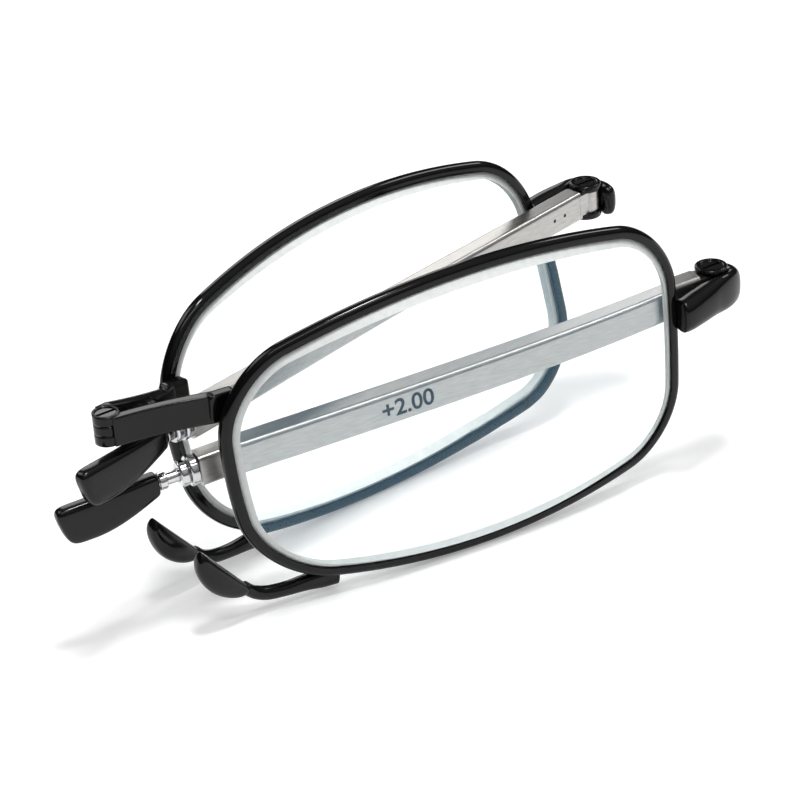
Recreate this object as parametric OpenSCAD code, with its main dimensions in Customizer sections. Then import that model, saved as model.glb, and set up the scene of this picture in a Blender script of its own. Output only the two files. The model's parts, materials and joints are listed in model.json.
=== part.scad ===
// Folding reading glasses: rims that fold together at the bridge, telescopic temples between them.
// Lengths are in millimetres. The glasses stand folded on the lower edges of their rims.
// The fold plane is Y = 0, the bridge pin is upright, and X runs from the bridge to the temple hinges.

/* [Lens] */
// Width between the nasal and temporal sides of a lens, through its centre
lens_w = 49.6; // [47:0.2:52]
// Height between the top and bottom sides of a lens, through its centre
lens_h = 31; // [29:0.2:33]
// Radius of the lens corners
corner_r = 6; // [5:0.5:7]
// Radius of the arched top side
top_bow_r = 72; // [60:1:100]
// Radius of the bowed bottom side
bottom_bow_r = 80; // [60:1:100]
// Radius of the bowed nasal side
nasal_bow_r = 55; // [48:1:80]
// Radius of the nearly straight temporal side
temporal_bow_r = 400; // [200:10:600]
// Turn of the top side towards the nose, in degrees
top_turn = 2.4; // [1:0.1:4]
// Turn of the nasal side downwards, in degrees
nasal_turn = 12.3; // [9:0.1:14]
// Turn of the bottom side towards the nose, in degrees
bottom_turn = 1.2; // [0:0.1:3]
// Turn of the temporal side upwards, in degrees
temporal_turn = 3.7; // [2:0.1:5]
// Thickness of a lens at its centre
lens_t = 3.4; // [3.3:0.1:3.8]
// Radius of the front surface of a lens
lens_front_r = 100; // [96:1:110]
// Radius of the back surface of a lens
lens_back_r = 333; // [280:1:360]
// Width of the ground bevel round a lens
bevel_w = 1.3; // [1:0.1:1.6]

/* [Rim] */
// Width of the rim wire, seen from the front
rim_w = 1.1; // [0.9:0.05:1.3]
// Depth of the rim wire, from front to back
rim_d = 1.4; // [1.2:0.05:1.6]
// Depth of the groove that holds the lens
groove_deep = 0.45; // [0.35:0.05:0.5]
// Width of the mouth of that groove
groove_w = 0.95; // [0.85:0.05:1]
// Clearance between the lens bevel and the bottom of the groove
lens_gap = 0.1; // [0.06:0.01:0.15]

/* [Fold] */
// Angle between each lens and the fold plane, seen from above
fold_half = 6.8; // [6:0.1:8]
// Lean of each lens away from the fold plane towards its top
lens_lean = 3.4; // [2:0.1:4]
// Distance from the bridge pin to the lens centre, along the fold plane
lens_x = 34.3; // [34:0.1:36]
// Distance from the fold plane to the lens centre
lens_y = 10.05; // [9.8:0.05:10.6]

/* [Bridge hinge] */
// Height of the top of the bridge hinge above the lens centre
bridge_top = 8.5; // [8.3:0.1:9]
// Height of one of the three knuckles
bridge_knuckle_h = 1; // [0.9:0.05:1.05]
// Radius of the knuckles
bridge_r = 1.3; // [1.2:0.05:1.4]
// Diameter of the bridge screw's shank
bridge_pin_d = 1.2; // [1:0.05:1.3]
// Distance from the bridge pin to the outer face of an arm
arm_out = 1.65; // [1.6:0.05:1.9]
// Thickness of a bridge arm
arm_t = 1; // [0.8:0.05:1.2]
// Length of the arm's foot along the back of the rim
arm_foot_l = 2.8; // [2.4:0.1:3.2]
// Rise of the left arm from the hinge to its rim
left_arm_rise = 0; // [-0.5:0.1:0.5]
// Rise of the right arm, negative because it falls
right_arm_rise = -1.8; // [-2:0.1:-1]

/* [Temple hinge] */
// Distance from the bridge pin to the temple pin, along the fold plane
pin_x = 65.4; // [65:0.1:67]
// Distance from the fold plane to the temple pin
pin_y = 10; // [9.8:0.05:10.1]
// Height of the middle of the left temple hinge above the lens centre
left_pin_z = 3.7; // [3.4:0.1:4]
// Height of the middle of the right temple hinge, more than the left so that the tips stack
right_pin_z = 6.7; // [6.5:0.1:7]
// Height of the hinge, over its two ears
ear_h = 3.8; // [3.7:0.1:4]
// Radius of the ears round the screw
ear_r = 1.6; // [1.55:0.05:1.75]
// Height of the knuckle between the two ears
knuckle_h = 2.3; // [2:0.1:2.3]
// Radius of the knuckle
knuckle_r = 1.4; // [1.3:0.05:1.5]
// Diameter of the temple screw's shank
temple_pin_d = 1.2; // [1:0.05:1.3]
// Swing of a temple from folded to open, in degrees
temple_swing = 92; // [88:1:94]
// Direction of the horn from the rim to the hinge, in degrees from the fold plane
horn_turn = 18.5; // [16:0.5:21]
// Radius of the rounded end of the horn, half of its width
horn_r = 2.1; // [2:0.05:2.3]
// Distance of that rounded end beyond the pin
horn_reach = 1.3; // [1:0.05:1.5]
// Rounding of the horn's long edges
horn_edge_r = 1.15; // [0.8:0.05:1.15]
// Depth of the horn's top below the upper ear
horn_step = 0.25; // [0.15:0.05:0.4]
// Width of the brazed foot between the rim and the horn
foot_w = 1.1; // [0.8:0.1:1.3]

/* [Temple] */
// Angle between each folded temple and the fold plane, seen from above
temple_fold = 9.5; // [9.2:0.1:9.8]
// Drop of the left temple towards its tip
left_drop = 4.2; // [4:0.1:4.6]
// Drop of the right temple towards its tip
right_drop = 2.6; // [2.4:0.1:3]
// Length of the outer tube
tube_l = 55.5; // [52:0.5:57]
// Height of the outer tube
tube_h = 3.2; // [3:0.05:3.3]
// Thickness of the outer tube
tube_t = 2.3; // [2.2:0.05:2.4]
// Radius of the outer tube's edges
tube_edge_r = 0.45; // [0.35:0.05:0.7]
// Diameter of the bore of the outer tube
tube_bore = 1.8; // [1.7:0.05:1.85]
// Outer diameter of the bush on the end of the tube
bush_d = 3.1; // [2.8:0.05:3.2]
// Length of that bush
bush_l = 1; // [0.8:0.1:1.2]
// Length of the draw tube inside the outer tube
draw_l = 46; // [40:0.5:48]
// Outer diameter of the collar on the draw tube
collar_d = 2.6; // [2.3:0.05:2.8]
// Length of that collar
collar_l = 0.9; // [0.7:0.1:1.1]
// Wall of the draw tube
draw_wall = 0.17; // [0.14:0.01:0.2]
// Length of the rod inside the draw tube
rod_l = 44; // [38:0.5:45]
// Length of the ferrule at the mouth of the tip
ferrule_l = 0.8; // [0.5:0.1:1]
// Outer diameter of that ferrule
ferrule_d = 1.8; // [1.6:0.05:2]
// Length of the tip
tip_l = 10.2; // [9:0.1:11]
// Height of the tip at its mouth
tip_mouth_h = 2.2; // [2.1:0.1:2.5]
// Flare of the tip's upper edge towards its end, negative because it narrows
tip_flare_up = -0.2; // [-0.3:0.05:0]
// Flare of the tip's lower edge towards its end
tip_flare_down = 2.1; // [1.6:0.05:2.2]
// Thickness of the tip
tip_t = 1.8; // [1.7:0.05:2]
// Length by which the left rod stands out of its draw tube at rest
left_pull = 1.2; // [0:0.1:1.5]
// Running clearance of the tubes and pins, on the radius
run_gap = 0.05; // [0.03:0.01:0.08]

/* [Nose pads] */
// Length of the pad's straight edge, before its ends are blunted
pad_l = 8.6; // [8.2:0.1:9]
// Width of the pad
pad_w = 2.3; // [2.1:0.1:2.6]
// Thickness of the pad at its middle
pad_t = 2.1; // [1.9:0.1:2.4]
// Radius of the pad's domed faces
pad_dome_r = 16; // [14:0.5:20]
// Length taken off each end of the pad
pad_blunt = 0.5; // [0.4:0.05:0.7]
// Thickness of the pad arm
pad_arm_t = 1.4; // [1.2:0.1:1.5]

/* [Hidden] */
$fn = 48;
LEFT = 1;
RIGHT = -1;

// Brazed and pressed pieces of one body stand this far apart
seat_gap = 0.03;
// Lens outline: distance of a side from the centre, direction of its normal, radius of its bow
SIDES = [
    [lens_h / 2, 90 + top_turn, top_bow_r],
    [lens_w / 2, 180 + nasal_turn, nasal_bow_r],
    [lens_h / 2, 270 - bottom_turn, bottom_bow_r],
    [lens_w / 2, temporal_turn, temporal_bow_r],
];
stations = 84;
// Below one, the stations crowd into the corners
station_spread = 0.6;
search_steps = 28;
rim_bow_r = 2 / (1 / lens_front_r + 1 / lens_back_r);

function heading(a) = [cos(a), sin(a)];
function signed_power(v, e) = sign(v) * pow(abs(v), e);
function past_side(p, s) = norm(p - (s[0] - s[2]) * heading(s[1])) - s[2] + corner_r;
function past_outline(p) = norm([for (s = SIDES) max(0, past_side(p, s))]) - corner_r;
function reach(a, near, far, steps) =
    let (mid = (near + far) / 2)
    steps == 0 ? mid :
    past_outline(mid * heading(a)) < 0 ? reach(a, mid, far, steps - 1) : reach(a, near, mid, steps - 1);
function station_angle(i) =
    let (t = 360 * i / stations)
    atan2(lens_h * signed_power(sin(t), station_spread), lens_w * signed_power(cos(t), station_spread));
OUTLINE = [
    for (i = [0 : stations - 1])
        reach(station_angle(i), lens_h / 4, lens_w, search_steps) * heading(station_angle(i))
];
function outward(i) =
    let (d = OUTLINE[(i + 1) % stations] - OUTLINE[(i + stations - 1) % stations])
    [d[1], -d[0]] / norm(d);
function bow(p) = (p * p) / (2 * rim_bow_r);
function beside(i, off) = OUTLINE[i] + off * outward(i);
function rim_point(i, off, back) =
    let (p = beside(i, off))
    [p[0], bow(OUTLINE[i]) + back, p[1]];

// Section of the rim wire: distance outwards from its centre line, distance backwards
rim_half = rim_w / 2;
rim_flat = 0.35;
rim_round_step = 30;
RIM_SECTION = [
    [-rim_half, -rim_d / 2],
    for (a = [-90 : rim_round_step : 90])
        [-rim_half + rim_flat + (rim_w - rim_flat) * cos(a), rim_d / 2 * sin(a)],
    [-rim_half, rim_d / 2],
    [-rim_half, groove_w / 2],
    [-rim_half + groove_deep, 0],
    [-rim_half, -groove_w / 2],
];
lens_edge = -rim_half + groove_deep - lens_gap;
lens_rings = [1, 0.7, 0.35];

function front_face(p) = (p * p) / (2 * lens_front_r) - lens_t / 2;
function back_face(p) = (p * p) / (2 * lens_back_r) + lens_t / 2;
function lens_ring(share) = [for (i = [0 : stations - 1]) share * beside(i, lens_edge - bevel_w)];

// Lowest point of the standing rims, below the lens centres
low_z = min([
    for (i = [0 : stations - 1])
        for (q = RIM_SECTION)
            let (p = rim_point(i, q[0], q[1]))
            p[1] * sin(lens_lean) + p[2] * cos(lens_lean)
]);

// Bridge hinge
bridge_knuckle_gap = 0.03;
bridge_step = bridge_knuckle_h + bridge_knuckle_gap;
bridge_bottom = bridge_top - 2 * bridge_step - bridge_knuckle_h;
arm_margin = 0.08;
arm_low = bridge_bottom + arm_margin;
arm_high = bridge_top - arm_margin;
arm_h = arm_high - arm_low;
knuckle_room = 0.1;
stop_gap = 0.05;
bridge_head_d = 2;
head_h = 0.4;
head_sink = 0.1;
slot_w = 0.4;
slot_deep = 0.2;

// Bridge arm in the arm frame, which is turned about the bridge pin like the lens
function arm_rise(side) = side == LEFT ? left_arm_rise : right_arm_rise;
function arm_v(side) = (arm_low + arm_high) / 2 + arm_rise(side);
function arm_u(side) =
    let (a = atan2(arm_v(side), lens_w / 2))
    -reach(180 - a, lens_h / 4, lens_w, search_steps) * cos(a);
function arm_back(side) = bow([arm_u(side) - rim_half, arm_v(side) + arm_h / 2]) + rim_d / 2 + seat_gap;
function arm_foot(side) = [
    lens_x * cos(fold_half) + lens_y * sin(fold_half) + arm_u(side),
    lens_x * sin(fold_half) - lens_y * cos(fold_half)
        + arm_back(side) * cos(lens_lean) - (arm_v(side) - arm_h / 2) * sin(lens_lean)
];
function arm_fall(side) = -arm_out - arm_foot(side)[1];
function arm_bow_r(side) = (pow(arm_foot(side)[0], 2) + pow(arm_fall(side), 2)) / (2 * arm_fall(side));

// Temple hinge
ear_gap = knuckle_h + 2 * run_gap;
slot_r = knuckle_r + 2 * run_gap;
neck_room = tube_t / 2 + 2 * run_gap;
neck_shut = 180 - temple_fold;
neck_open = neck_shut - temple_swing;
slot_reach = 8;
temple_head_d = 2.3;
horn_h = ear_h - horn_step;
horn_back = 1.3;
horn_root = [-5.4, -1.75];
horn_back_turn = 13.5;
horn_back_x = -1.2;
foot_step = 0.12;
rim_side = lens_w / 2 + rim_half + seat_gap;

// Temple, measured from its pin towards its tip
neck_gap = 0.25;
neck_collar = 0.3;
neck_x = ear_r + neck_gap;
tube_x = neck_x + neck_collar;
bush_x = tube_x + tube_l;
collar_x = bush_x + bush_l + 2 * run_gap;
ferrule_x = collar_x + collar_l + 2 * run_gap;
tip_x = ferrule_x + ferrule_l;
tip_end = tip_x + tip_l;
spigot_l = 4;
spigot_d = tube_bore - 2 * seat_gap;
draw_d = tube_bore - 2 * run_gap;
draw_bore = draw_d - 2 * draw_wall;
rod_d = draw_bore - 2 * run_gap;
rod_seat = 4;
rod_fit = 0.05;
tip_rings = 16;
tip_sides = 24;
tip_slant = 0.25;
tip_square = 0.5;
tip_full = 0.75;
tip_edge = 26;
tip_nip = 0.001;

// Nose pad and its arm in the lens frame, across and up from the lower nasal corner of the lens
nasal_corner = [-lens_w / 2, -lens_h / 2];
pad_tip = nasal_corner + [-4.35, 8.7];
pad_run = [0.65, -0.76];
pad_arm_foot = nasal_corner + [9.2, 0.6];
pad_arm_bend = nasal_corner + [2.2, 1.3];
pad_arm_end = nasal_corner + [0.3, 2.6];
pad_arm_web = nasal_corner + [6.6, 1.6];
pad_back = 1.9;

// Box of the standing glasses, along X
horn_end = pin_x + horn_reach * cos(horn_turn) + horn_r;
tip_far = pin_x - (tip_end + left_pull + tip_slant * tip_mouth_h / 2) * cos(left_drop) * cos(temple_fold);
mid_x = (horn_end + tip_far) / 2;

// Frames: the standing glasses, one of their sides, a lens, a temple pin and a folded temple
module stand(side) {
    translate([-mid_x, 0, -low_z])
        mirror([0, side == RIGHT ? 1 : 0, 0])
            children();
}

module lens_frame() {
    translate([lens_x, -lens_y, 0])
        rotate([lens_lean, 0, -fold_half])
            children();
}

module arm_frame() {
    rotate(-fold_half)
        children();
}

module pin_frame(side) {
    translate([pin_x, -pin_y, side == LEFT ? left_pin_z : right_pin_z])
        children();
}

module temple_frame(side) {
    pin_frame(side)
        rotate([0, side == LEFT ? left_drop : right_drop, 180 - temple_fold])
            children();
}

// The pieces that slide with the tip
module end_frame(side) {
    temple_frame(side)
        translate([side == LEFT ? left_pull : 0, 0, 0])
            children();
}

// A flat outline in the lens plane, made solid from one depth to a deeper one
module upright(back, deep) {
    translate([0, back + deep, 0])
        rotate([90, 0, 0])
            linear_extrude(deep)
                children();
}

// A solid along the temple, its outline across the temple
module along(start, length) {
    translate([start, 0, 0])
        rotate([90, 0, 90])
            linear_extrude(length)
                children();
}

module bar(start, length, d) {
    translate([start, 0, 0])
        rotate([0, 90, 0])
            cylinder(d = d, h = length);
}

module rounded_box(w, h, r) {
    square([w - 2 * r, h], center = true);
    square([w, h - 2 * r], center = true);
    for (x = [-1, 1], y = [-1, 1])
        translate([x * (w / 2 - r), y * (h / 2 - r)])
            circle(r);
}

module capsule(a, b, w) {
    run = b - a;
    translate(a) {
        circle(d = w);
        rotate(atan2(run[1], run[0]))
            translate([0, -w / 2])
                square([norm(run), w]);
    }
    translate(b)
        circle(d = w);
}

module outline_area(off) {
    polygon([for (i = [0 : stations - 1]) beside(i, off)]);
}

// Closed loops of points joined into a skin, each loop to the next
function skin_faces(loops, size, first) = [
    for (j = [0 : loops - 1])
        for (i = [0 : size - 1])
            let (k = (j + 1) % loops, n = (i + 1) % size)
            if (k > 0 || !first)
                [j * size + i, j * size + n, k * size + n, k * size + i]
];

module rim(side) {
    points = [
        for (i = [0 : stations - 1])
            for (q = RIM_SECTION)
                rim_point(i, q[0], q[1])
    ];
    color("#141414")
        stand(side)
            lens_frame()
                polyhedron(points, skin_faces(stations, len(RIM_SECTION), false), convexity = 6);
}

module lens(side) {
    front = [
        for (k = [len(lens_rings) - 1 : -1 : 0])
            for (p = lens_ring(lens_rings[k]))
                [p[0], front_face(p), p[1]]
    ];
    edge = [for (i = [0 : stations - 1]) rim_point(i, lens_edge, 0)];
    back = [
        for (share = lens_rings)
            for (p = lens_ring(share))
                [p[0], back_face(p), p[1]]
    ];
    loops = 2 * len(lens_rings) + 1;
    middle = [[0, front_face([0, 0]), 0], [0, back_face([0, 0]), 0]];
    count = loops * stations;
    caps = [
        for (i = [0 : stations - 1])
            let (n = (i + 1) % stations)
            each [[count, n, i], [count + 1, count - stations + i, count - stations + n]]
    ];
    color("#dfe9ea", 0.35)
        stand(side)
            lens_frame()
                polyhedron(
                    concat(front, edge, back, middle),
                    concat(skin_faces(loops, stations, true), caps),
                    convexity = 4
                );
}

// Height of the lower face of a bridge knuckle, counted from the top
function bridge_level(k) = bridge_top - k * bridge_step - bridge_knuckle_h;

// The arm from above: a wall that leaves the hinge square to its stop face and bows down to the rim
module bridge_arm_plan(side) {
    bow_r = arm_bow_r(side);
    intersection() {
        translate([0, -arm_out - bow_r])
            difference() {
                circle(bow_r + arm_t, $fn = 240);
                circle(bow_r, $fn = 240);
            }
        translate([stop_gap, -2 * arm_foot_l - arm_out])
            square([arm_foot(side)[0] - arm_foot_l / 2 + arm_t - stop_gap, 2 * arm_foot_l + arm_out]);
    }
}

// The arm from the front: level at the hinge, then rising or falling to its foot
module bridge_arm_side(side) {
    level = bridge_r;
    land = arm_foot(side)[0] - arm_foot_l / 2;
    end = land + arm_foot_l;
    rise = arm_rise(side);
    polygon([
        [-level, arm_low],
        [level, arm_low],
        [land, arm_low + rise],
        [end, arm_low + rise],
        [end, arm_high + rise],
        [land, arm_high + rise],
        [level, arm_high],
        [-level, arm_high],
    ]);
}

module bridge_arm(side) {
    levels = side == LEFT ? [0, 2] : [1];
    others = side == LEFT ? [1] : [0, 2];
    color("#101010")
        stand(side)
            difference() {
                union() {
                    arm_frame()
                        intersection() {
                            translate([0, 0, arm_low - arm_h])
                                linear_extrude(3 * arm_h)
                                    bridge_arm_plan(side);
                            rotate([90, 0, 0])
                                linear_extrude(4 * arm_foot_l)
                                    bridge_arm_side(side);
                        }
                    lens_frame()
                        translate([arm_u(side), arm_back(side), arm_v(side)])
                            rotate([-90, 0, 0])
                                linear_extrude(arm_t)
                                    rounded_box(arm_foot_l, arm_h, arm_t / 2);
                    for (k = levels)
                        translate([0, 0, bridge_level(k)])
                            cylinder(r = bridge_r, h = bridge_knuckle_h);
                }
                // Room for the knuckles of the other arm
                for (k = others)
                    translate([0, 0, bridge_level(k) - bridge_knuckle_gap])
                        cylinder(r = bridge_r + knuckle_room, h = bridge_knuckle_h + 2 * bridge_knuckle_gap);
                // Bore and seat of the screw
                translate([0, 0, bridge_bottom - arm_h])
                    cylinder(d = bridge_pin_d + 2 * (side == LEFT ? seat_gap : run_gap), h = 3 * arm_h);
                translate([0, 0, bridge_top - head_sink - head_h - seat_gap])
                    cylinder(d = bridge_head_d + 2 * seat_gap, h = arm_h);
            }
}

module screw(d, bottom, top, head_d) {
    difference() {
        union() {
            translate([0, 0, bottom])
                cylinder(d = d, h = top - head_h - bottom);
            translate([0, 0, top - head_h])
                cylinder(d = head_d, h = head_h);
        }
        translate([0, 0, top])
            cube([2 * head_d, slot_w, 2 * slot_deep], center = true);
    }
}

module bridge_screw() {
    color("#2a2a2a")
        stand(LEFT)
            screw(bridge_pin_d, bridge_bottom, bridge_top - head_sink, bridge_head_d);
}

// The horn from above: a bar with a round end, cut back where the temple folds in beside it
module horn_plan() {
    difference() {
        rotate(horn_turn)
            capsule([-slot_reach, 0], [horn_reach, 0], 2 * horn_r);
        translate([-slot_reach, horn_back])
            square([2 * slot_reach, slot_reach]);
        intersection() {
            translate(horn_root)
                rotate(horn_back_turn)
                    translate([-slot_reach, 0])
                        square([2 * slot_reach, slot_reach]);
            translate([horn_back_x - 2 * slot_reach, -slot_reach])
                square([2 * slot_reach, 2 * slot_reach]);
        }
    }
}

// Half of the horn's rounded section, turned about the middle of its end
module horn_half(h) {
    intersection() {
        rounded_box(2 * horn_r, h, horn_edge_r);
        translate([0, -h])
            square([2 * horn_r, 2 * h]);
    }
}

module horn() {
    translate([0, 0, -horn_step / 2])
        intersection() {
            linear_extrude(ear_h, center = true)
                horn_plan();
            rotate(horn_turn)
                union() {
                    along(-slot_reach, slot_reach + horn_reach)
                        rounded_box(2 * horn_r, horn_h, horn_edge_r);
                    translate([horn_reach, 0, 0])
                        rotate_extrude()
                            horn_half(horn_h);
                }
        }
}

// The foot between the horn and the rim, a step smaller than the horn
module horn_foot() {
    translate([0, 0, -horn_step / 2])
        intersection() {
            linear_extrude(ear_h, center = true)
                horn_plan();
            rotate(horn_turn)
                along(-slot_reach, slot_reach)
                    rounded_box(2 * (horn_r - foot_step), horn_h - 2 * foot_step, horn_edge_r - foot_step);
        }
}

// Everything on the lens side of a line beside the outer side of the rim
module beside_rim(gap) {
    lens_frame()
        rotate([0, -temporal_turn, 0])
            translate([rim_side + gap - lens_w / 2, -lens_w / 2, -lens_w / 2])
                cube([lens_w / 2, lens_w, lens_w]);
}

module end_piece(side) {
    color("#101010")
        stand(side)
            difference() {
                union() {
                    difference() {
                        pin_frame(side)
                            horn();
                        beside_rim(foot_w);
                    }
                    difference() {
                        pin_frame(side)
                            horn_foot();
                        beside_rim(0);
                    }
                    pin_frame(side)
                        cylinder(r = ear_r, h = ear_h, center = true);
                }
                pin_frame(side) {
                    // Room for the knuckle, open towards the temple
                    linear_extrude(ear_gap, center = true) {
                        circle(slot_r);
                        for (a = [neck_open, neck_shut])
                            rotate(a)
                                translate([0, -neck_room])
                                    square([slot_reach, 2 * neck_room]);
                        polygon([
                            [0, 0],
                            slot_reach * heading(neck_open),
                            2 * slot_reach * heading((neck_open + neck_shut) / 2),
                            slot_reach * heading(neck_shut),
                        ]);
                    }
                    cylinder(d = temple_pin_d + 2 * seat_gap, h = 2 * ear_h, center = true);
                    translate([0, 0, ear_h / 2 - head_sink - head_h - seat_gap])
                        cylinder(d = temple_head_d + 2 * seat_gap, h = ear_h);
                }
            }
}

module temple_screw(side) {
    color("#2a2a2a")
        stand(side)
            pin_frame(side)
                screw(temple_pin_d, -ear_h / 2, ear_h / 2 - head_sink, temple_head_d);
}

module temple_plug(side) {
    color("#121212")
        stand(side)
            difference() {
                union() {
                    pin_frame(side) {
                        cylinder(r = knuckle_r, h = knuckle_h, center = true);
                        rotate(neck_shut)
                            translate([0, -tube_t / 2, -knuckle_h / 2])
                                cube([neck_x + tube_edge_r / 2, tube_t, knuckle_h]);
                    }
                    temple_frame(side) {
                        along(neck_x, tube_x - neck_x - seat_gap)
                            rounded_box(tube_t, tube_h, tube_edge_r);
                        bar(tube_x - tube_edge_r / 2, spigot_l, spigot_d);
                    }
                }
                pin_frame(side)
                    cylinder(d = temple_pin_d + 2 * run_gap, h = 2 * ear_h, center = true);
            }
}

module tube(side) {
    color("#c9ccce")
        stand(side)
            temple_frame(side)
                difference() {
                    along(tube_x, tube_l)
                        rounded_box(tube_t, tube_h, tube_edge_r);
                    bar(tube_x - tube_edge_r, tube_l + 2 * tube_edge_r, tube_bore);
                }
}

// A ring with rounded edges round the temple's own axis
module ring(start, length, outer, inner) {
    edge = min(length, outer - inner) / 4;
    translate([start, 0, 0])
        rotate([0, 90, 0])
            rotate_extrude() {
                translate([inner / 2, 0])
                    square([outer / 2 - edge - inner / 2, length]);
                translate([inner / 2, edge])
                    square([(outer - inner) / 2, length - 2 * edge]);
                for (z = [edge, length - edge])
                    translate([outer / 2 - edge, z])
                        circle(edge);
            }
}

module bush(side) {
    color("#dcdee0")
        stand(side)
            temple_frame(side)
                ring(bush_x + seat_gap, bush_l, bush_d, tube_bore);
}

module draw_tube(side) {
    color("#dcdee0")
        stand(side)
            temple_frame(side)
                difference() {
                    union() {
                        bar(collar_x - draw_l, draw_l + collar_l / 2, draw_d);
                        ring(collar_x, collar_l, collar_d, draw_bore);
                    }
                    bar(collar_x - draw_l - collar_l, draw_l + 3 * collar_l, draw_bore);
                }
}

module rod(side) {
    color("#dcdee0")
        stand(side)
            end_frame(side)
                bar(ferrule_x - rod_l, rod_l + ferrule_l + rod_seat, rod_d);
}

module ferrule(side) {
    color("#d0d2d4")
        stand(side)
            end_frame(side)
                ring(ferrule_x, ferrule_l - seat_gap, ferrule_d, rod_d + 2 * rod_fit);
}

// The tip flares from its mouth to a flat paddle with a slanted, blunt end
function tip_share(j) = (1 - cos(180 * j / tip_rings)) / 2;
function tip_swell(share) = share < tip_full ? sin(90 * share / tip_full) : 1;
function tip_blunt(share) = pow((1 - pow(share, tip_edge)) * (1 - pow(1 - share, 4 * tip_edge)), 1 / 3);
function tip_top(share) = tip_mouth_h / 2 + tip_flare_up * tip_swell(share);
function tip_low(share) = tip_mouth_h / 2 + tip_flare_down * tip_swell(share);
function tip_loop(j) =
    let (
        share = min(max(tip_share(j), tip_nip), 1 - tip_nip),
        middle = (tip_top(share) - tip_low(share)) / 2,
        half_h = (tip_top(share) + tip_low(share)) / 2 * tip_blunt(share),
        half_t = tip_t / 2 * tip_blunt(share)
    )
    [
        for (i = [0 : tip_sides - 1])
            let (
                a = -360 * i / tip_sides,
                up = half_h * signed_power(sin(a), tip_square),
                across = half_t * signed_power(cos(a), tip_square)
            )
            [tip_x + tip_l * tip_share(j) + tip_slant * share * up, across, middle + up]
    ];

module tip(side) {
    loops = tip_rings + 1;
    points = [for (j = [0 : tip_rings]) each tip_loop(j)];
    first = [for (i = [tip_sides - 1 : -1 : 0]) i];
    last = [for (i = [0 : tip_sides - 1]) tip_rings * tip_sides + i];
    color("#121212")
        stand(side)
            end_frame(side)
                difference() {
                    polyhedron(points, concat(skin_faces(loops, tip_sides, true), [first, last]), convexity = 4);
                    bar(tip_x - rod_seat, 2 * rod_seat + rod_fit, rod_d + 2 * rod_fit);
                }
}

module pad_arm_area(grow) {
    difference() {
        union() {
            capsule(pad_arm_foot, pad_arm_bend, pad_arm_t + 2 * grow);
            capsule(pad_arm_bend, pad_arm_end, pad_arm_t + 2 * grow);
            capsule(pad_arm_foot, pad_arm_web, 1.5 * pad_arm_t + 2 * grow);
        }
        outline_area(rim_half + seat_gap);
    }
}

module pad_arm(side) {
    color("#101010")
        stand(side)
            lens_frame()
                upright(pad_back - pad_arm_t / 2, pad_arm_t)
                    pad_arm_area(0);
}

// Half-moon with blunt ends: its straight edge faces the lens, its belly faces down and towards the nose
module pad_plan() {
    belly_r = (pad_l * pad_l / 4 + pad_w * pad_w) / (2 * pad_w);
    intersection() {
        translate([0, belly_r - pad_w])
            circle(belly_r, $fn = 96);
        translate([-pad_l, -2 * pad_l])
            square([2 * pad_l, 2 * pad_l]);
        translate([0, -pad_w / 2])
            circle(pad_l / 2 - pad_blunt, $fn = 96);
    }
}

module nose_pad(side) {
    middle = pad_tip + pad_run * pad_l / 2;
    turn = atan2(pad_run[1], pad_run[0]);
    color("#141414")
        stand(side)
            lens_frame()
                intersection() {
                    upright(pad_back - pad_t, 2 * pad_t)
                        difference() {
                            translate(middle)
                                rotate(turn)
                                    pad_plan();
                            pad_arm_area(seat_gap);
                        }
                    pad_dome(middle + pad_w / 2 * [pad_run[1], -pad_run[0]]);
                }
}

// Two domed faces back to back
module pad_dome(middle) {
    dome_back = pad_dome_r - pad_t / 2;
    intersection() {
        translate([middle[0], pad_back + dome_back, middle[1]])
            sphere(pad_dome_r, $fn = 240);
        translate([middle[0], pad_back - dome_back, middle[1]])
            sphere(pad_dome_r, $fn = 240);
    }
}

rim(LEFT);  // left_rim
rim(RIGHT);  // right_rim
lens(LEFT);  // left_lens
lens(RIGHT);  // right_lens
bridge_arm(LEFT);  // left_bridge_arm
bridge_arm(RIGHT);  // right_bridge_arm
bridge_screw();
end_piece(LEFT);  // left_end_piece
end_piece(RIGHT);  // right_end_piece
temple_screw(LEFT);  // left_temple_screw
temple_screw(RIGHT);  // right_temple_screw
temple_plug(LEFT);  // left_temple_plug
temple_plug(RIGHT);  // right_temple_plug
tube(LEFT);  // left_tube
tube(RIGHT);  // right_tube
bush(LEFT);  // left_bush
bush(RIGHT);  // right_bush
draw_tube(LEFT);  // left_draw_tube
draw_tube(RIGHT);  // right_draw_tube
rod(LEFT);  // left_rod
rod(RIGHT);  // right_rod
ferrule(LEFT);  // left_ferrule
ferrule(RIGHT);  // right_ferrule
tip(LEFT);  // left_tip
tip(RIGHT);  // right_tip
pad_arm(LEFT);  // left_pad_arm
pad_arm(RIGHT);  // right_pad_arm
nose_pad(LEFT);  // left_nose_pad
nose_pad(RIGHT);  // right_nose_pad
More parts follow.
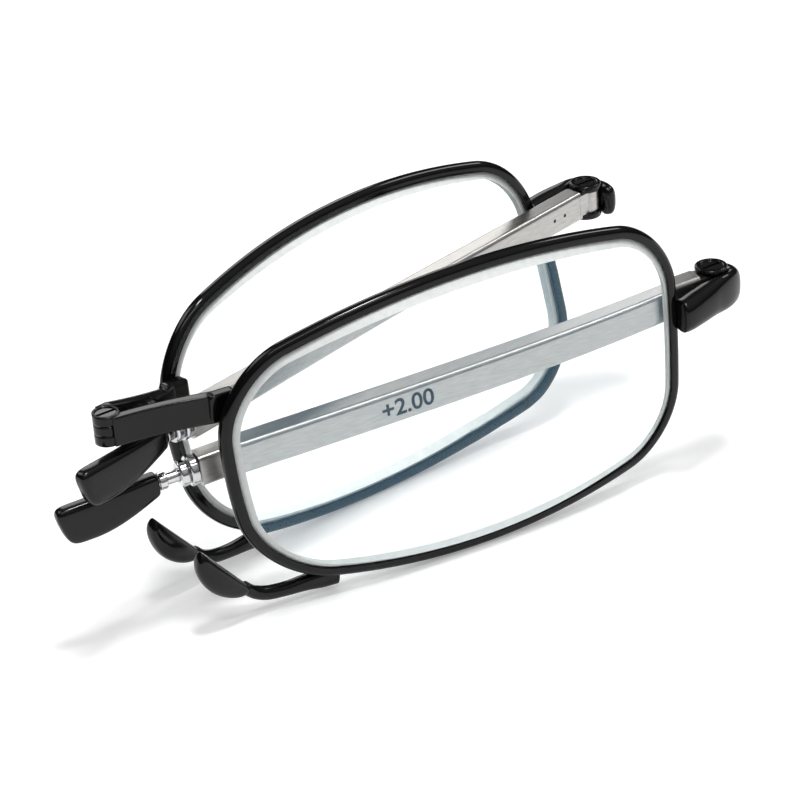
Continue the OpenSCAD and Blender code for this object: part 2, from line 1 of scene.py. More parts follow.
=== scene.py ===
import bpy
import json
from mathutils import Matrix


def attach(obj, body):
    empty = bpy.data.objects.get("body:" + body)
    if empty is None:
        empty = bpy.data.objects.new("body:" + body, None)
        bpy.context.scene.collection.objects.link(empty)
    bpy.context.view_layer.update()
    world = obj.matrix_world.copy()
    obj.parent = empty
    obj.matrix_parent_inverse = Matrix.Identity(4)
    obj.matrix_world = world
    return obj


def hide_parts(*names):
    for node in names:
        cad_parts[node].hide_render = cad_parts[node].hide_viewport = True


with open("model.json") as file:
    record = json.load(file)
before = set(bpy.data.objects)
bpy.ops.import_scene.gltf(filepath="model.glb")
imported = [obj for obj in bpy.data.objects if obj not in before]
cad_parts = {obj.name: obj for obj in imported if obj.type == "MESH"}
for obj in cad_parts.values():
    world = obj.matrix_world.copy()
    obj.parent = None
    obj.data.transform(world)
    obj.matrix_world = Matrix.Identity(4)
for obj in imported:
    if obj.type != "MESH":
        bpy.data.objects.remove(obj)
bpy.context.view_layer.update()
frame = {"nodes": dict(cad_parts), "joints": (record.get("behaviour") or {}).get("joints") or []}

import json
import math

import bmesh
import bpy
from mathutils import Matrix, Vector

scene = bpy.context.scene
scene.view_settings.view_transform = "Standard"

MM = 0.001
SIDES = ("left", "right")

# Sizes of the part in millimetres and degrees, as in its construction. There x runs from the bridge pin to
# the temple pins, y from the left lens to the right one, and z up from the middle of the lenses.
LENS_W = 49.6
LENS_H = 31.0
LENS_X = 34.3
LENS_Y = 10.05
FOLD_HALF = 6.8  # between a lens and the plane halfway between both
LENS_LEAN = 3.4
CORNER_R = 6.0
LENS_T = 3.4
FRONT_R = 100.0
BACK_R = 333.0
BEVEL_W = 1.05
LENS_GAP = 0.1
RIM_W = 1.1
RIM_D = 1.4
RIM_OUT_R = 0.62
RIM_IN_R = 0.1
RIM_BOW_R = 2 / (1 / FRONT_R + 1 / BACK_R)  # halfway between the faces of the lens
GROOVE_DEEP = 0.45
GROOVE_W = 0.95
PIN_X = 65.4
PIN_Y = 10.0
PIN_Z = {"left": 3.7, "right": 6.7}
TEMPLE_FOLD = 9.5
TEMPLE_DROP = {"left": 4.2, "right": 2.6}
TUBE_T = 2.3

# Top, nasal, bottom and temporal side of the lens: distance from its middle, direction and bow radius
LENS_SIDES = (
    (LENS_H / 2, 92.4, 72.0),
    (LENS_W / 2, 192.3, 55.0),
    (LENS_H / 2, 268.8, 80.0),
    (LENS_W / 2, 3.7, 400.0),
)


# Materials
def new_material(name):
    mat = bpy.data.materials.new(name)
    mat.use_nodes = True
    tree = mat.node_tree
    return mat, tree, tree.nodes["Principled BSDF"]


def add(tree, kind, **values):
    """A new node. Each value sets the input of that name, or the node's own setting."""
    node = tree.nodes.new(kind)
    for key, value in values.items():
        if key in node.inputs:
            node.inputs[key].default_value = value
        else:
            setattr(node, key, value)
    return node


def put(node, values):
    """Sets a node's inputs by name."""
    for name, value in values.items():
        node.inputs[name].default_value = value


def link(tree, a, b):
    tree.links.new(a, b)


def ramp(tree, factor, stops):
    """A colour that goes through stops, each with its place from 0 to 1."""
    node = add(tree, "ShaderNodeValToRGB")
    elements = node.color_ramp.elements
    for i, (at, colour) in enumerate(stops):
        stop = elements[i] if i < 2 else elements.new(at)
        stop.position = at
        stop.color = (*colour, 1)
    link(tree, factor, node.inputs["Fac"])
    return node.outputs["Color"]


def span(tree, factor, low, high):
    """A factor from 0 to 1, spread from low to high."""
    node = add(tree, "ShaderNodeMapRange")
    put(node, {"To Min": low, "To Max": high})
    link(tree, factor, node.inputs["Value"])
    return node.outputs["Result"]


def noise(tree, scale, detail, stretch=(1, 1, 1), turn=(0, 0, 0)):
    where = add(tree, "ShaderNodeTexCoord")
    place = add(tree, "ShaderNodeMapping", Scale=stretch, Rotation=turn)
    link(tree, where.outputs["Object"], place.inputs["Vector"])
    node = add(tree, "ShaderNodeTexNoise", Scale=scale, Detail=detail)
    link(tree, place.outputs["Vector"], node.inputs["Vector"])
    return node.outputs["Fac"]


def bump(tree, shader, height, strength, distance):
    node = add(tree, "ShaderNodeBump", Strength=strength, Distance=distance)
    link(tree, height, node.inputs["Height"])
    link(tree, node.outputs["Normal"], shader.inputs["Normal"])
    return node


def any_ray(tree, *kinds):
    """1 for a ray of any of these kinds, 0 for the others."""
    path = add(tree, "ShaderNodeLightPath")
    found = path.outputs[kinds[0]]
    for kind in kinds[1:]:
        either = add(tree, "ShaderNodeMath", operation="MAXIMUM")
        link(tree, found, either.inputs[0])
        link(tree, path.outputs[kind], either.inputs[1])
        found = either.outputs["Value"]
    return found


def lacquer(name, tone, rough, level, edge_r=0.0):
    """A dark coat, a little uneven in colour and gloss. Sharp edges are shaded as if rounded by edge_r."""
    mat, tree, shader = new_material(name)
    cloud = noise(tree, scale=900, detail=4)
    deep = (tone * 0.7, tone * 0.7, tone * 0.7)
    pale = (tone * 1.4, tone * 1.4, tone * 1.5)
    link(tree, ramp(tree, cloud, [(0.3, deep), (0.75, pale)]), shader.inputs["Base Color"])
    gloss = noise(tree, scale=350, detail=3)
    link(tree, span(tree, gloss, rough * 0.75, rough * 1.3), shader.inputs["Roughness"])
    put(shader, {"Specular IOR Level": level})
    grain = bump(tree, shader, noise(tree, scale=2600, detail=2), strength=0.02, distance=0.04 * MM)
    if edge_r:
        edge = add(tree, "ShaderNodeBevel", Radius=edge_r, samples=8)
        link(tree, edge.outputs["Normal"], grain.inputs["Normal"])
    return mat


def brushed(name, turn):
    """Metal with fine brush marks. A turn in degrees gives each side marks of its own."""
    mat, tree, shader = new_material(name)
    streak = noise(tree, scale=1, detail=4, stretch=(60, 5200, 5200), turn=(0, 0, math.radians(turn)))
    tones = [(0.25, (0.40, 0.392, 0.38)), (0.75, (0.53, 0.52, 0.505))]
    link(tree, ramp(tree, streak, tones), shader.inputs["Base Color"])
    link(tree, span(tree, streak, 0.26, 0.4), shader.inputs["Roughness"])
    put(shader, {"Metallic": 1.0})
    bump(tree, shader, streak, strength=0.12, distance=0.03 * MM)
    return mat


def chrome(name):
    mat, tree, shader = new_material(name)
    tones = [(0.3, (0.52, 0.52, 0.53)), (0.7, (0.68, 0.68, 0.69))]
    link(tree, ramp(tree, noise(tree, scale=700, detail=3), tones), shader.inputs["Base Color"])
    link(tree, span(tree, noise(tree, scale=1800, detail=3), 0.08, 0.2), shader.inputs["Roughness"])
    put(shader, {"Metallic": 1.0})
    return mat


def clear(name):
    """Lens glass with a blue coat. It lets the lamps' light through, so its shadow is faint."""
    mat, tree, shader = new_material(name)
    tones = [(0.3, (0.975, 0.992, 0.995)), (0.7, (0.985, 0.997, 1.0))]
    link(tree, ramp(tree, noise(tree, scale=60, detail=4), tones), shader.inputs["Base Color"])
    put(shader, {
        "Transmission Weight": 1.0,
        "IOR": 1.5,
        "Roughness": 0.0,
        "Specular Tint": (0.12, 0.5, 0.8, 1),
    })
    passing = add(tree, "ShaderNodeBsdfTransparent", Color=(0.95, 0.975, 0.98, 1))
    mix = add(tree, "ShaderNodeMixShader")
    link(tree, any_ray(tree, "Is Shadow Ray"), mix.inputs["Fac"])
    link(tree, shader.outputs["BSDF"], mix.inputs[1])
    link(tree, passing.outputs["BSDF"], mix.inputs[2])
    link(tree, mix.outputs["Shader"], tree.nodes["Material Output"].inputs["Surface"])
    return mat


def frosted(name):
    mat, tree, shader = new_material(name)
    grain = noise(tree, scale=1500, detail=2)
    tones = [(0.3, (0.80, 0.83, 0.815)), (0.7, (0.88, 0.91, 0.895))]
    link(tree, ramp(tree, grain, tones), shader.inputs["Base Color"])
    link(tree, span(tree, grain, 0.3, 0.55), shader.inputs["Roughness"])
    bump(tree, shader, grain, strength=0.06, distance=0.05 * MM)
    return mat


rim_paint = lacquer("rim_paint", tone=0.003, rough=0.09, level=0.25)
frame_paint = lacquer("frame_paint", tone=0.003, rough=0.12, level=0.28, edge_r=0.35 * MM)
tip_plastic = lacquer("tip_plastic", tone=0.004, rough=0.16, level=0.3)
pad_plastic = lacquer("pad_plastic", tone=0.004, rough=0.14, level=0.3)
screw_steel = lacquer("screw_steel", tone=0.006, rough=0.2, level=0.4)
# Dark ink for the printed figure, also used for the painted shade of the tube's dimples
ink_and_dimple_shade = lacquer("ink_and_dimple_shade", tone=0.03, rough=0.5, level=0.2)
chrome_ring = chrome("chrome_ring")
tube_left = brushed("tube_left", TEMPLE_FOLD)
tube_right = brushed("tube_right", -TEMPLE_FOLD)
lens_clear = clear("lens_clear")
lens_bevel = frosted("lens_bevel")

# Looks of the solids. Tubes and plugs have the brushed look of their own side.
LOOKS = {
    "rim": rim_paint,
    "lens": lens_clear,
    "bridge_arm": frame_paint,
    "bridge_screw": screw_steel,
    "end_piece": frame_paint,
    "temple_screw": screw_steel,
    "bush": chrome_ring,
    "draw_tube": chrome_ring,
    "rod": chrome_ring,
    "ferrule": chrome_ring,
    "tip": tip_plastic,
    "pad_arm": frame_paint,
    "nose_pad": pad_plastic,
}
for name, obj in frame["nodes"].items():
    kind = name.removeprefix("left_").removeprefix("right_")
    look = LOOKS.get(kind) or (tube_left if name.startswith("left_") else tube_right)
    for held in obj.material_slots:
        held.material = look

# Places: the construction is moved so that its left temple pin lies where the frame has it
left_pin = next(joint["pos_m"] for joint in frame["joints"] if joint["name"] == "left_temple_swing")
STAND = Matrix.Translation(Vector(left_pin) / MM - Vector((PIN_X, -PIN_Y, PIN_Z["left"])))
MIRROR = {"left": Matrix.Identity(4), "right": Matrix.Scale(-1, 4, (0, 1, 0))}


def turned(degrees, axis):
    return Matrix.Rotation(math.radians(degrees), 4, axis)


def pin_frame(side):
    return Matrix.Translation((PIN_X, -PIN_Y, PIN_Z[side]))


def temple_frame(side):
    """x along the folded temple from its pin, z across it upwards."""
    return pin_frame(side) @ turned(180 - TEMPLE_FOLD, "Z") @ turned(TEMPLE_DROP[side], "Y")


# In the lens's frame, x runs from its nasal to its temporal side, y through it to the back, z up
LENS_FRAME = Matrix.Translation((LENS_X, -LENS_Y, 0)) @ turned(-FOLD_HALF, "Z") @ turned(LENS_LEAN, "X")


# Shapes
def around(count):
    """Angles of even steps round a circle."""
    return [2 * math.pi * i / count for i in range(count)]


def shares(steps):
    """Even steps from 0 to 1."""
    return [i / steps for i in range(steps + 1)]


def ease(share):
    """A share from 0 to 1, with its steps closer at both ends."""
    return (1 - math.cos(math.pi * share)) / 2


def trim(share, cut):
    """A share from 0 to 1, drawn in by cut at both ends."""
    return cut + (1 - 2 * cut) * share


def soft_square(angle, power):
    """A point of the unit circle for power 1, and of a squarer curve for a lower power."""
    return [math.copysign(abs(v) ** power, v) for v in (math.cos(angle), math.sin(angle))]


def quarter(x, y, r, start, steps=8):
    """Points of a quarter circle that starts at an angle in degrees."""
    angles = [math.radians(start + 90 * share) for share in shares(steps)]
    return [(x + r * math.cos(a), y + r * math.sin(a)) for a in angles]


def along_path(path, share):
    """A smooth curve through the stops of a path, at a share of its stops."""
    last = len(path) - 1
    t = share * last
    k = min(int(t), last - 1)
    t -= k
    near = [path[min(max(k + n, 0), last)] for n in (-1, 0, 1, 2)]
    values = []
    for p, q, r, s in zip(*near):
        slope = r - p
        curve = 2 * p - 5 * q + 4 * r - s
        twist = 3 * q - p - 3 * r + s
        values.append(q + (slope * t + curve * t ** 2 + twist * t ** 3) / 2)
    return values


def left_of(stops, j):
    """Unit direction to the left of a path, at one of its stops."""
    ax, ay = stops[max(j - 1, 0)][:2]
    bx, by = stops[min(j + 1, len(stops) - 1)][:2]
    run = math.hypot(bx - ax, by - ay)
    return (ay - by) / run, (bx - ax) / run


def skin(rings, size, closed):
    """Faces between rings of size points each. A closed skin also joins the last ring to the first."""
    faces = []
    for j in range(rings if closed else rings - 1):
        k = (j + 1) % rings
        for i in range(size):
            n = (i + 1) % size
            faces.append((j * size + i, j * size + n, k * size + n, k * size + i))
    return faces


def loft(rings, size):
    """An open skin with a cap on each end."""
    last = (rings - 1) * size
    return skin(rings, size, False) + [tuple(range(size)), tuple(range(last, last + size))]


def new_object(name, data):
    obj = bpy.data.objects.new(name, data)
    scene.collection.objects.link(obj)
    return obj


def piece(name, side, place, points, faces, looks, body, stands_for=(), crease=32):
    """A mesh from points in one of the part's own frames. Each look has the first face that it is on."""
    turn = STAND @ MIRROR[side] @ place
    mesh = bpy.data.meshes.new(name)
    mesh.from_pydata([(turn @ Vector(p)) * MM for p in points], [], faces)
    shell = bmesh.new()
    shell.from_mesh(mesh)
    bmesh.ops.recalc_face_normals(shell, faces=shell.faces)
    shell.to_mesh(mesh)
    shell.free()
    for look, first in looks:
        mesh.materials.append(look)
        for face in mesh.polygons[first:]:
            face.material_index = len(mesh.materials) - 1
    mesh.shade_smooth()
    mesh.set_sharp_from_angle(angle=math.radians(crease))
    obj = new_object(name, mesh)
    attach(obj, body)
    if stands_for:
        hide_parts(*stands_for)


# Outline of the lens: bowed sides joined by rounded corners
STATIONS = 320
STATION_SPREAD = 0.6  # a lower power puts more of the points into the corners
HALVINGS = 40


def past_outline(x, y):
    """How far a point is outside the outline."""
    total = 0.0
    for far, direction, bow_r in LENS_SIDES:
        a = math.radians(direction)
        middle = far - bow_r
        past = math.hypot(x - middle * math.cos(a), y - middle * math.sin(a)) - bow_r + CORNER_R
        total += max(0.0, past) ** 2
    return math.sqrt(total) - CORNER_R


def outline_point(a):
    """The outline's point in a direction, found by halving the distance that it can be at."""
    near, far = LENS_H / 4, LENS_W
    for _ in range(HALVINGS):
        middle = (near + far) / 2
        if past_outline(middle * math.cos(a), middle * math.sin(a)) < 0:
            near = middle
        else:
            far = middle
    return (near + far) / 2 * math.cos(a), (near + far) / 2 * math.sin(a)


OUTLINE = []
for angle in around(STATIONS):
    x, y = soft_square(angle, STATION_SPREAD)
    OUTLINE.append(outline_point(math.atan2(LENS_H * y, LENS_W * x)))


def beside(i, off):
    """A point that lies outside one of the outline's points by off."""
    ax, ay = OUTLINE[i - 1]
    bx, by = OUTLINE[(i + 1) % STATIONS]
    run = math.hypot(bx - ax, by - ay)
    return OUTLINE[i][0] + off * (by - ay) / run, OUTLINE[i][1] - off * (bx - ax) / run


def sag(p, r):
    """How far back a dome of radius r lies at a point, compared with its middle."""
    return (p[0] ** 2 + p[1] ** 2) / (2 * r)


# Rims: the wire's section with softly rounded edges, swept round the lens
def rim_section():
    """Points of the section, outwards from the outline and backwards. The last three are the groove."""
    w, d = RIM_W / 2, RIM_D / 2
    return (
        quarter(-w + RIM_IN_R, -d + RIM_IN_R, RIM_IN_R, 180)
        + quarter(w - RIM_OUT_R, -d + RIM_OUT_R, RIM_OUT_R, 270)
        + quarter(w - RIM_OUT_R, d - RIM_OUT_R, RIM_OUT_R, 0)
        + quarter(-w + RIM_IN_R, d - RIM_IN_R, RIM_IN_R, 90)
        + [(-w, GROOVE_W / 2), (-w + GROOVE_DEEP, 0), (-w, -GROOVE_W / 2)]
    )


def rim(side):
    section = rim_section()
    points = []
    for i in range(STATIONS):
        for out, back in section:
            x, z = beside(i, out)
            points.append((x, sag(OUTLINE[i], RIM_BOW_R) + back, z))
    piece(side + "_rim_wire", side, LENS_FRAME, points, skin(STATIONS, len(section), True),
          [(rim_paint, 0)], side + "_front", [side + "_rim"])


# Lenses: two polished faces and the ground bevel between them
LENS_RINGS = 14
LENS_CREASE = 9


def lens(side):
    edge = -RIM_W / 2 + GROOVE_DEEP - LENS_GAP
    face_line = [beside(i, edge - BEVEL_W) for i in range(STATIONS)]
    flat = [(x * k / LENS_RINGS, z * k / LENS_RINGS) for k in range(1, LENS_RINGS + 1) for x, z in face_line]
    points = []
    for r, middle in ((FRONT_R, -LENS_T / 2), (BACK_R, LENS_T / 2)):
        points += [(p[0], sag(p, r) + middle, p[1]) for p in flat]
    ridge = len(points)
    for i in range(STATIONS):
        x, z = beside(i, edge)
        points.append((x, sag(OUTLINE[i], RIM_BOW_R), z))
    centre = len(points)
    points += [(0, -LENS_T / 2, 0), (0, LENS_T / 2, 0)]
    faces = []
    for first, middle in ((0, centre), (len(flat), centre + 1)):
        faces += [tuple(first + v for v in quad) for quad in skin(LENS_RINGS, STATIONS, False)]
        faces += [(middle, first + (i + 1) % STATIONS, first + i) for i in range(STATIONS)]
    ground = len(faces)
    front_edge = len(flat) - STATIONS
    back_edge = 2 * len(flat) - STATIONS
    for i in range(STATIONS):
        n = (i + 1) % STATIONS
        faces.append((front_edge + i, front_edge + n, ridge + n, ridge + i))
        faces.append((ridge + i, ridge + n, back_edge + n, back_edge + i))
    piece(side + "_lens_glass", side, LENS_FRAME, points, faces, [(lens_clear, 0), (lens_bevel, ground)],
          side + "_front", [side + "_lens"], crease=LENS_CREASE)


# Nose pads: half-moons with every edge rounded, standing on the same line as the solid ones
PAD_L = 8.6
PAD_W = 2.3
PAD_T = 2.1
PAD_BLUNT = 0.5
PAD_BACK = 1.9
PAD_TIP_OUT = 4.35  # from the lens's nasal side
PAD_TIP_UP = 8.7  # from the lens's bottom
PAD_TIP = (-LENS_W / 2 - PAD_TIP_OUT, -LENS_H / 2 + PAD_TIP_UP)
PAD_RUN = (0.65, -0.76)
PAD_EXTRA_W = 0.3
PAD_THINNING = 0.3  # share of the thickness that is lost towards the ends
PAD_TAPER = 14  # a higher power makes the ends blunter
PAD_SQUARE = 0.8
PAD_CUT = 0.02
PAD_STEPS = 40
PAD_SIDES = 32
BELLY_R = (PAD_L ** 2 / 4 + PAD_W ** 2) / (2 * PAD_W)


def nose_pad(side):
    half = PAD_L / 2 - PAD_BLUNT
    points = []
    for share in shares(PAD_STEPS):
        u = -math.cos(math.pi * trim(share, PAD_CUT))
        taper = math.sqrt(1 - abs(u) ** PAD_TAPER)
        belly = math.sqrt(BELLY_R ** 2 - (u * half) ** 2) - BELLY_R + PAD_W
        width = (belly + PAD_EXTRA_W) * taper
        thick = PAD_T * (1 - PAD_THINNING * u * u) * taper
        at = PAD_L / 2 + u * half
        for angle in around(PAD_SIDES):
            across, back = soft_square(angle, PAD_SQUARE)
            off = width / 2 * (across - 1)
            points.append((
                PAD_TIP[0] + PAD_RUN[0] * at - PAD_RUN[1] * off,
                PAD_BACK + thick / 2 * back,
                PAD_TIP[1] + PAD_RUN[1] * at + PAD_RUN[0] * off,
            ))
    piece(side + "_pad_moon", side, LENS_FRAME, points, loft(PAD_STEPS + 1, PAD_SIDES),
          [(pad_plastic, 0)], side + "_front", [side + "_nose_pad"])


# Pad arms: a wire that leaves the pad, bends along the rim and swells into its brazed foot.
# Each stop has its place from the lens's nasal side and bottom, and half its width.
ARM_PATH = (
    (0.2, 2.75, 0.60),
    (1.2, 1.85, 0.64),
    (2.6, 1.25, 0.68),
    (4.6, 1.0, 0.70),
    (6.8, 0.95, 0.85),
    (8.6, 0.80, 1.0),
    (10.2, 0.60, 0.9),
)
ARM_T = 1.4
ARM_SQUARE = 0.8
ARM_STEPS = 48
ARM_SIDES = 24


def pad_arm(side):
    stops = [along_path(ARM_PATH, share) for share in shares(ARM_STEPS)]
    points = []
    for j, (x, z, half_width) in enumerate(stops):
        left_x, left_z = left_of(stops, j)
        for angle in around(ARM_SIDES):
            across, back = soft_square(angle, ARM_SQUARE)
            points.append((
                x - LENS_W / 2 + half_width * across * left_x,
                PAD_BACK + ARM_T / 2 * back,
                z - LENS_H / 2 + half_width * across * left_z,
            ))
    piece(side + "_pad_wire", side, LENS_FRAME, points, loft(ARM_STEPS + 1, ARM_SIDES),
          [(frame_paint, 0)], side + "_front", [side + "_pad_arm"])


# End pieces: a horn that leaves the rim's outer side, rises to the hinge and curls round the knuckle to a
# blunt end. Each stop has its place from the pin in plan and height, half its width and half its height.
HORN_PATH = (
    (-6.25, -2.2, -1.12, 1.3, 1.7),
    (-5.3, -2.3, -1.02, 1.34, 1.78),
    (-3.8, -2.26, -0.76, 1.27, 1.86),
    (-1.9, -2.12, -0.5, 1.12, 1.92),
    (-0.2, -2.18, -0.38, 0.69, 1.95),
    (1.06, -1.84, -0.42, 0.63, 1.88),
    (1.97, -1.14, -0.5, 0.78, 1.76),
    (2.4, 0.0, -0.58, 0.9, 1.67),
    (2.28, 0.83, -0.6, 0.9, 1.64),
    (2.1, 1.36, -0.6, 0.86, 1.63),
    (1.92, 1.68, -0.6, 0.75, 1.62),
)
HORN_ROOT_R = 0.3
HORN_END_R = 0.8
HORN_END_HEIGHT = 0.6  # share of the height that is left at the ends
HORN_CAP = 0.02  # keeps the end caps from closing to a line
HORN_SQUARE = 0.75
HORN_CUT = 0.002
HORN_STEPS = 96
HORN_SIDES = 40


def rounding(run, r):
    """Share of its full width that an end of radius r has at some run from it."""
    return math.sqrt(max(0.0, 1 - (1 - min(run / r, 1)) ** 2))


def horn(side):
    stops = [along_path(HORN_PATH, trim(ease(share), HORN_CUT)) for share in shares(HORN_STEPS)]
    runs = [0.0]
    for p, q in zip(stops, stops[1:]):
        runs.append(runs[-1] + math.dist(p[:2], q[:2]))
    points = []
    for j, (x, y, z, half_width, half_height) in enumerate(stops):
        left_x, left_y = left_of(stops, j)
        from_root = runs[j] + HORN_CAP
        from_end = runs[-1] - runs[j] + HORN_CAP
        full = rounding(from_root, HORN_ROOT_R) * rounding(from_end, HORN_END_R)
        high = HORN_END_HEIGHT + (1 - HORN_END_HEIGHT) * full
        for angle in around(HORN_SIDES):
            across, rise = soft_square(angle, HORN_SQUARE)
            off = half_width * full * across
            points.append((x + off * left_x, y + off * left_y, z + half_height * high * rise))
    piece(side + "_end_horn", side, pin_frame(side), points, loft(HORN_STEPS + 1, HORN_SIDES),
          [(frame_paint, 0)], side + "_front", [side + "_end_piece"])


# Ears of the end pieces round the temple screw, the upper one with the seat of the screw's head
EAR_R = 1.68
EAR_H = 3.8
EAR_GAP = 2.4
EAR_EDGE = 0.12
HEAD_SEAT_R = 1.18
HEAD_SEAT_DEEP = 0.53
SHANK_R = 0.63
EAR_SIDES = 64


def ears(side):
    inner, outer = EAR_GAP / 2, EAR_H / 2
    seat = outer - HEAD_SEAT_DEEP
    body = [(SHANK_R, inner), (EAR_R, inner)] + quarter(EAR_R - EAR_EDGE, outer - EAR_EDGE, EAR_EDGE, 0)
    upper = body + [(HEAD_SEAT_R, outer), (HEAD_SEAT_R, seat), (SHANK_R, seat)]
    lower = [(r, -level) for r, level in body] + [(SHANK_R, -outer)]
    for name, profile in (("upper", upper), ("lower", lower)):
        points = []
        for angle in around(EAR_SIDES):
            points += [(r * math.cos(angle), r * math.sin(angle), level) for r, level in profile]
        piece("%s_%s_ear" % (side, name), side, pin_frame(side), points, skin(EAR_SIDES, len(profile), True),
              [(frame_paint, 0)], side + "_front")


# Tips: the same flare as the solid ones, with smoother skin
TIP_X = 60.55
TIP_L = 10.2
TIP_T = 1.8
TIP_MOUTH_H = 2.2
TIP_UP = -0.2
TIP_DOWN = 2.1
TIP_SLANT = 0.25
TIP_FULL = 0.75  # share of the length from which the flare is at its highest
TIP_END_POWER = 26  # a higher power makes that end blunter
TIP_MOUTH_POWER = 104
TIP_EDGE_POWER = 1 / 3
TIP_SQUARE = 0.5
TIP_CUT = 0.001
TIP_STEPS = 56
TIP_SIDES = 56
ROD_PULL = {"left": 1.2, "right": 0.0}  # how far the rod is drawn out at rest


def tip(side):
    points = []
    for share in shares(TIP_STEPS):
        along = ease(share)
        near = min(max(along, TIP_CUT), 1 - TIP_CUT)
        swell = math.sin(math.pi / 2 * min(near / TIP_FULL, 1))
        full = ((1 - near ** TIP_END_POWER) * (1 - (1 - near) ** TIP_MOUTH_POWER)) ** TIP_EDGE_POWER
        top = TIP_MOUTH_H / 2 + TIP_UP * swell
        low = TIP_MOUTH_H / 2 + TIP_DOWN * swell
        for angle in around(TIP_SIDES):
            across, up = soft_square(angle, TIP_SQUARE)
            rise = (top + low) / 2 * full * up
            points.append((
                TIP_X + ROD_PULL[side] + TIP_L * along + TIP_SLANT * near * rise,
                TIP_T / 2 * full * across,
                (top - low) / 2 + rise,
            ))
    piece(side + "_tip_paddle", side, temple_frame(side), points, loft(TIP_STEPS + 1, TIP_SIDES),
          [(tip_plastic, 0)], side + "_end", [side + "_tip"])


for side in SIDES:
    rim(side)
    lens(side)
for side in SIDES:
    nose_pad(side)
    pad_arm(side)
    horn(side)
    ears(side)
    tip(side)

# Printed power figure on the left tube
FIGURE_X = 36.0
FIGURE_SIZE = 2.4
FIGURE_HALF_T = 0.004
FIGURE_BOLD = 0.04
FIGURE_LIFT = 0.005

figure = bpy.data.curves.new("left_tube_figure", "FONT")
figure.body = "+2.00"
figure.size = FIGURE_SIZE * MM
figure.extrude = FIGURE_HALF_T * MM
figure.offset = FIGURE_BOLD * MM
figure.align_x = "CENTER"
figure.align_y = "CENTER"
figure.materials.append(ink_and_dimple_shade)
figure_obj = new_object("left_tube_figure", figure)
spot = STAND @ temple_frame("left") @ Matrix.Translation((FIGURE_X, TUBE_T / 2 + FIGURE_LIFT, 0))
spot = spot @ turned(180, "Z") @ turned(90, "X")
spot.translation *= MM
figure_obj.matrix_world = spot
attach(figure_obj, "left_temple")

# Two dimples on the right tube, drawn only as flat dark discs just above its surface: painted shade of the
# dents
DIMPLES_X = (4.6, 6.2)
DIMPLE_UP = 0.1
DIMPLE_R = 0.2
DIMPLE_LIFT = 0.006
DIMPLE_SIDES = 20

for n, along in enumerate(DIMPLES_X):
    level = -TUBE_T / 2 - DIMPLE_LIFT
    points = []
    for angle in around(DIMPLE_SIDES):
        points.append((along + DIMPLE_R * math.cos(angle), level, DIMPLE_UP + DIMPLE_R * math.sin(angle)))
    piece("right_tube_dimple_%d" % (n + 1), "right", temple_frame("right"), points,
          [tuple(range(DIMPLE_SIDES))], [(ink_and_dimple_shade, 0)], "right_temple")

# Floor: its own white shows to the eye, in metal and through glass, and lights nothing
FLOOR_HALF = 2.0
BACKDROP_WHITE = 0.24

floor_mesh = bpy.data.meshes.new("floor")
corners = [(x * FLOOR_HALF, y * FLOOR_HALF, 0) for x, y in ((-1, -1), (1, -1), (1, 1), (-1, 1))]
floor_mesh.from_pydata(corners, [], [(0, 1, 2, 3)])
floor_white, tree, shader = new_material("floor_white")
put(shader, {
    "Base Color": (0.93, 0.93, 0.93, 1),
    "Roughness": 0.7,
    "Specular IOR Level": 0.1,
    "Emission Color": (1, 1, 1, 1),
})
seen = any_ray(tree, "Is Camera Ray", "Is Transmission Ray", "Is Glossy Ray")
link(tree, span(tree, seen, 0.0, BACKDROP_WHITE), shader.inputs["Emission Strength"])
floor_mesh.materials.append(floor_white)
floor = new_object("floor", floor_mesh)

# Sky: bright overhead on the camera's side, dark towards the ground
SKY_BRIGHT_SIDE = (0.12, -0.42, 0.90)
SKY_TONES = [(0.15, (0.06, 0.06, 0.062)), (0.55, (0.25, 0.25, 0.252)), (0.9, (0.9, 0.9, 0.9))]
SKY_STRENGTH = 0.55

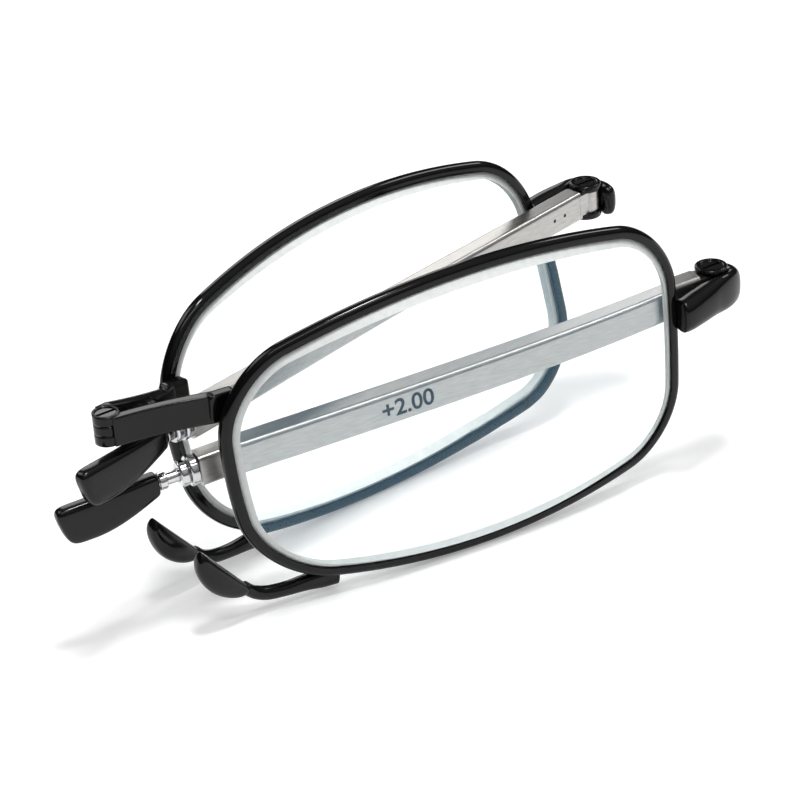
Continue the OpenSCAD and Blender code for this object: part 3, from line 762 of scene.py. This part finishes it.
world = bpy.data.worlds.new("studio")
scene.world = world
world.use_nodes = True
sky = world.node_tree
where = add(sky, "ShaderNodeTexCoord")
dot = add(sky, "ShaderNodeVectorMath", operation="DOT_PRODUCT")
dot.inputs[1].default_value = SKY_BRIGHT_SIDE
link(sky, where.outputs["Generated"], dot.inputs[0])
background = sky.nodes["Background"]
link(sky, ramp(sky, dot.outputs["Value"], SKY_TONES), background.inputs["Color"])
put(background, {"Strength": SKY_STRENGTH})

# Lamps: places and sizes in metres, power in watts
LOW_AIM = (0, 0, 0.01)
HIGH_AIM = (0, 0, 0.015)


def softbox(name, place, aim, size, power):
    lamp = bpy.data.lights.new(name, "AREA")
    lamp.shape = "RECTANGLE"
    lamp.size, lamp.size_y = size
    lamp.energy = power
    obj = new_object(name, lamp)
    obj.location = place
    obj.rotation_mode = "QUATERNION"
    obj.rotation_quaternion = (Vector(aim) - Vector(place)).to_track_quat("-Z", "Y")


softbox("key_box", (0.03, -0.06, 0.60), LOW_AIM, size=(0.09, 0.09), power=1.6)
softbox("top_box", (-0.10, -0.24, 0.55), LOW_AIM, size=(0.45, 0.06), power=0.6)
softbox("right_box", (0.42, 0.06, 0.42), LOW_AIM, size=(0.16, 0.16), power=0.6)
softbox("back_card", (0.225, 0.556, 0.33), HIGH_AIM, size=(0.28, 0.25), power=0.6)
softbox("back_box", (-0.22, 0.42, 0.45), LOW_AIM, size=(0.25, 0.25), power=0.6)

# Camera: place in metres, turn in degrees about x, y and z, lens and sensor in millimetres
CAMERA_PLACE = (-0.137962, -0.204722, 0.143468)
CAMERA_TURN = (62.31122, 3.57557, -36.10837)
CAMERA_LENS = 126.0
CAMERA_SENSOR = 36.0
CAMERA_CLIP = (0.01, 10.0)

camera_data = bpy.data.cameras.new("camera")
camera_data.sensor_width = CAMERA_SENSOR
camera_data.lens = CAMERA_LENS
camera_data.clip_start, camera_data.clip_end = CAMERA_CLIP
camera = new_object("camera", camera_data)
camera.location = CAMERA_PLACE
camera.rotation_euler = [math.radians(angle) for angle in CAMERA_TURN]
scene.camera = camera

bpy.context.view_layer.update()
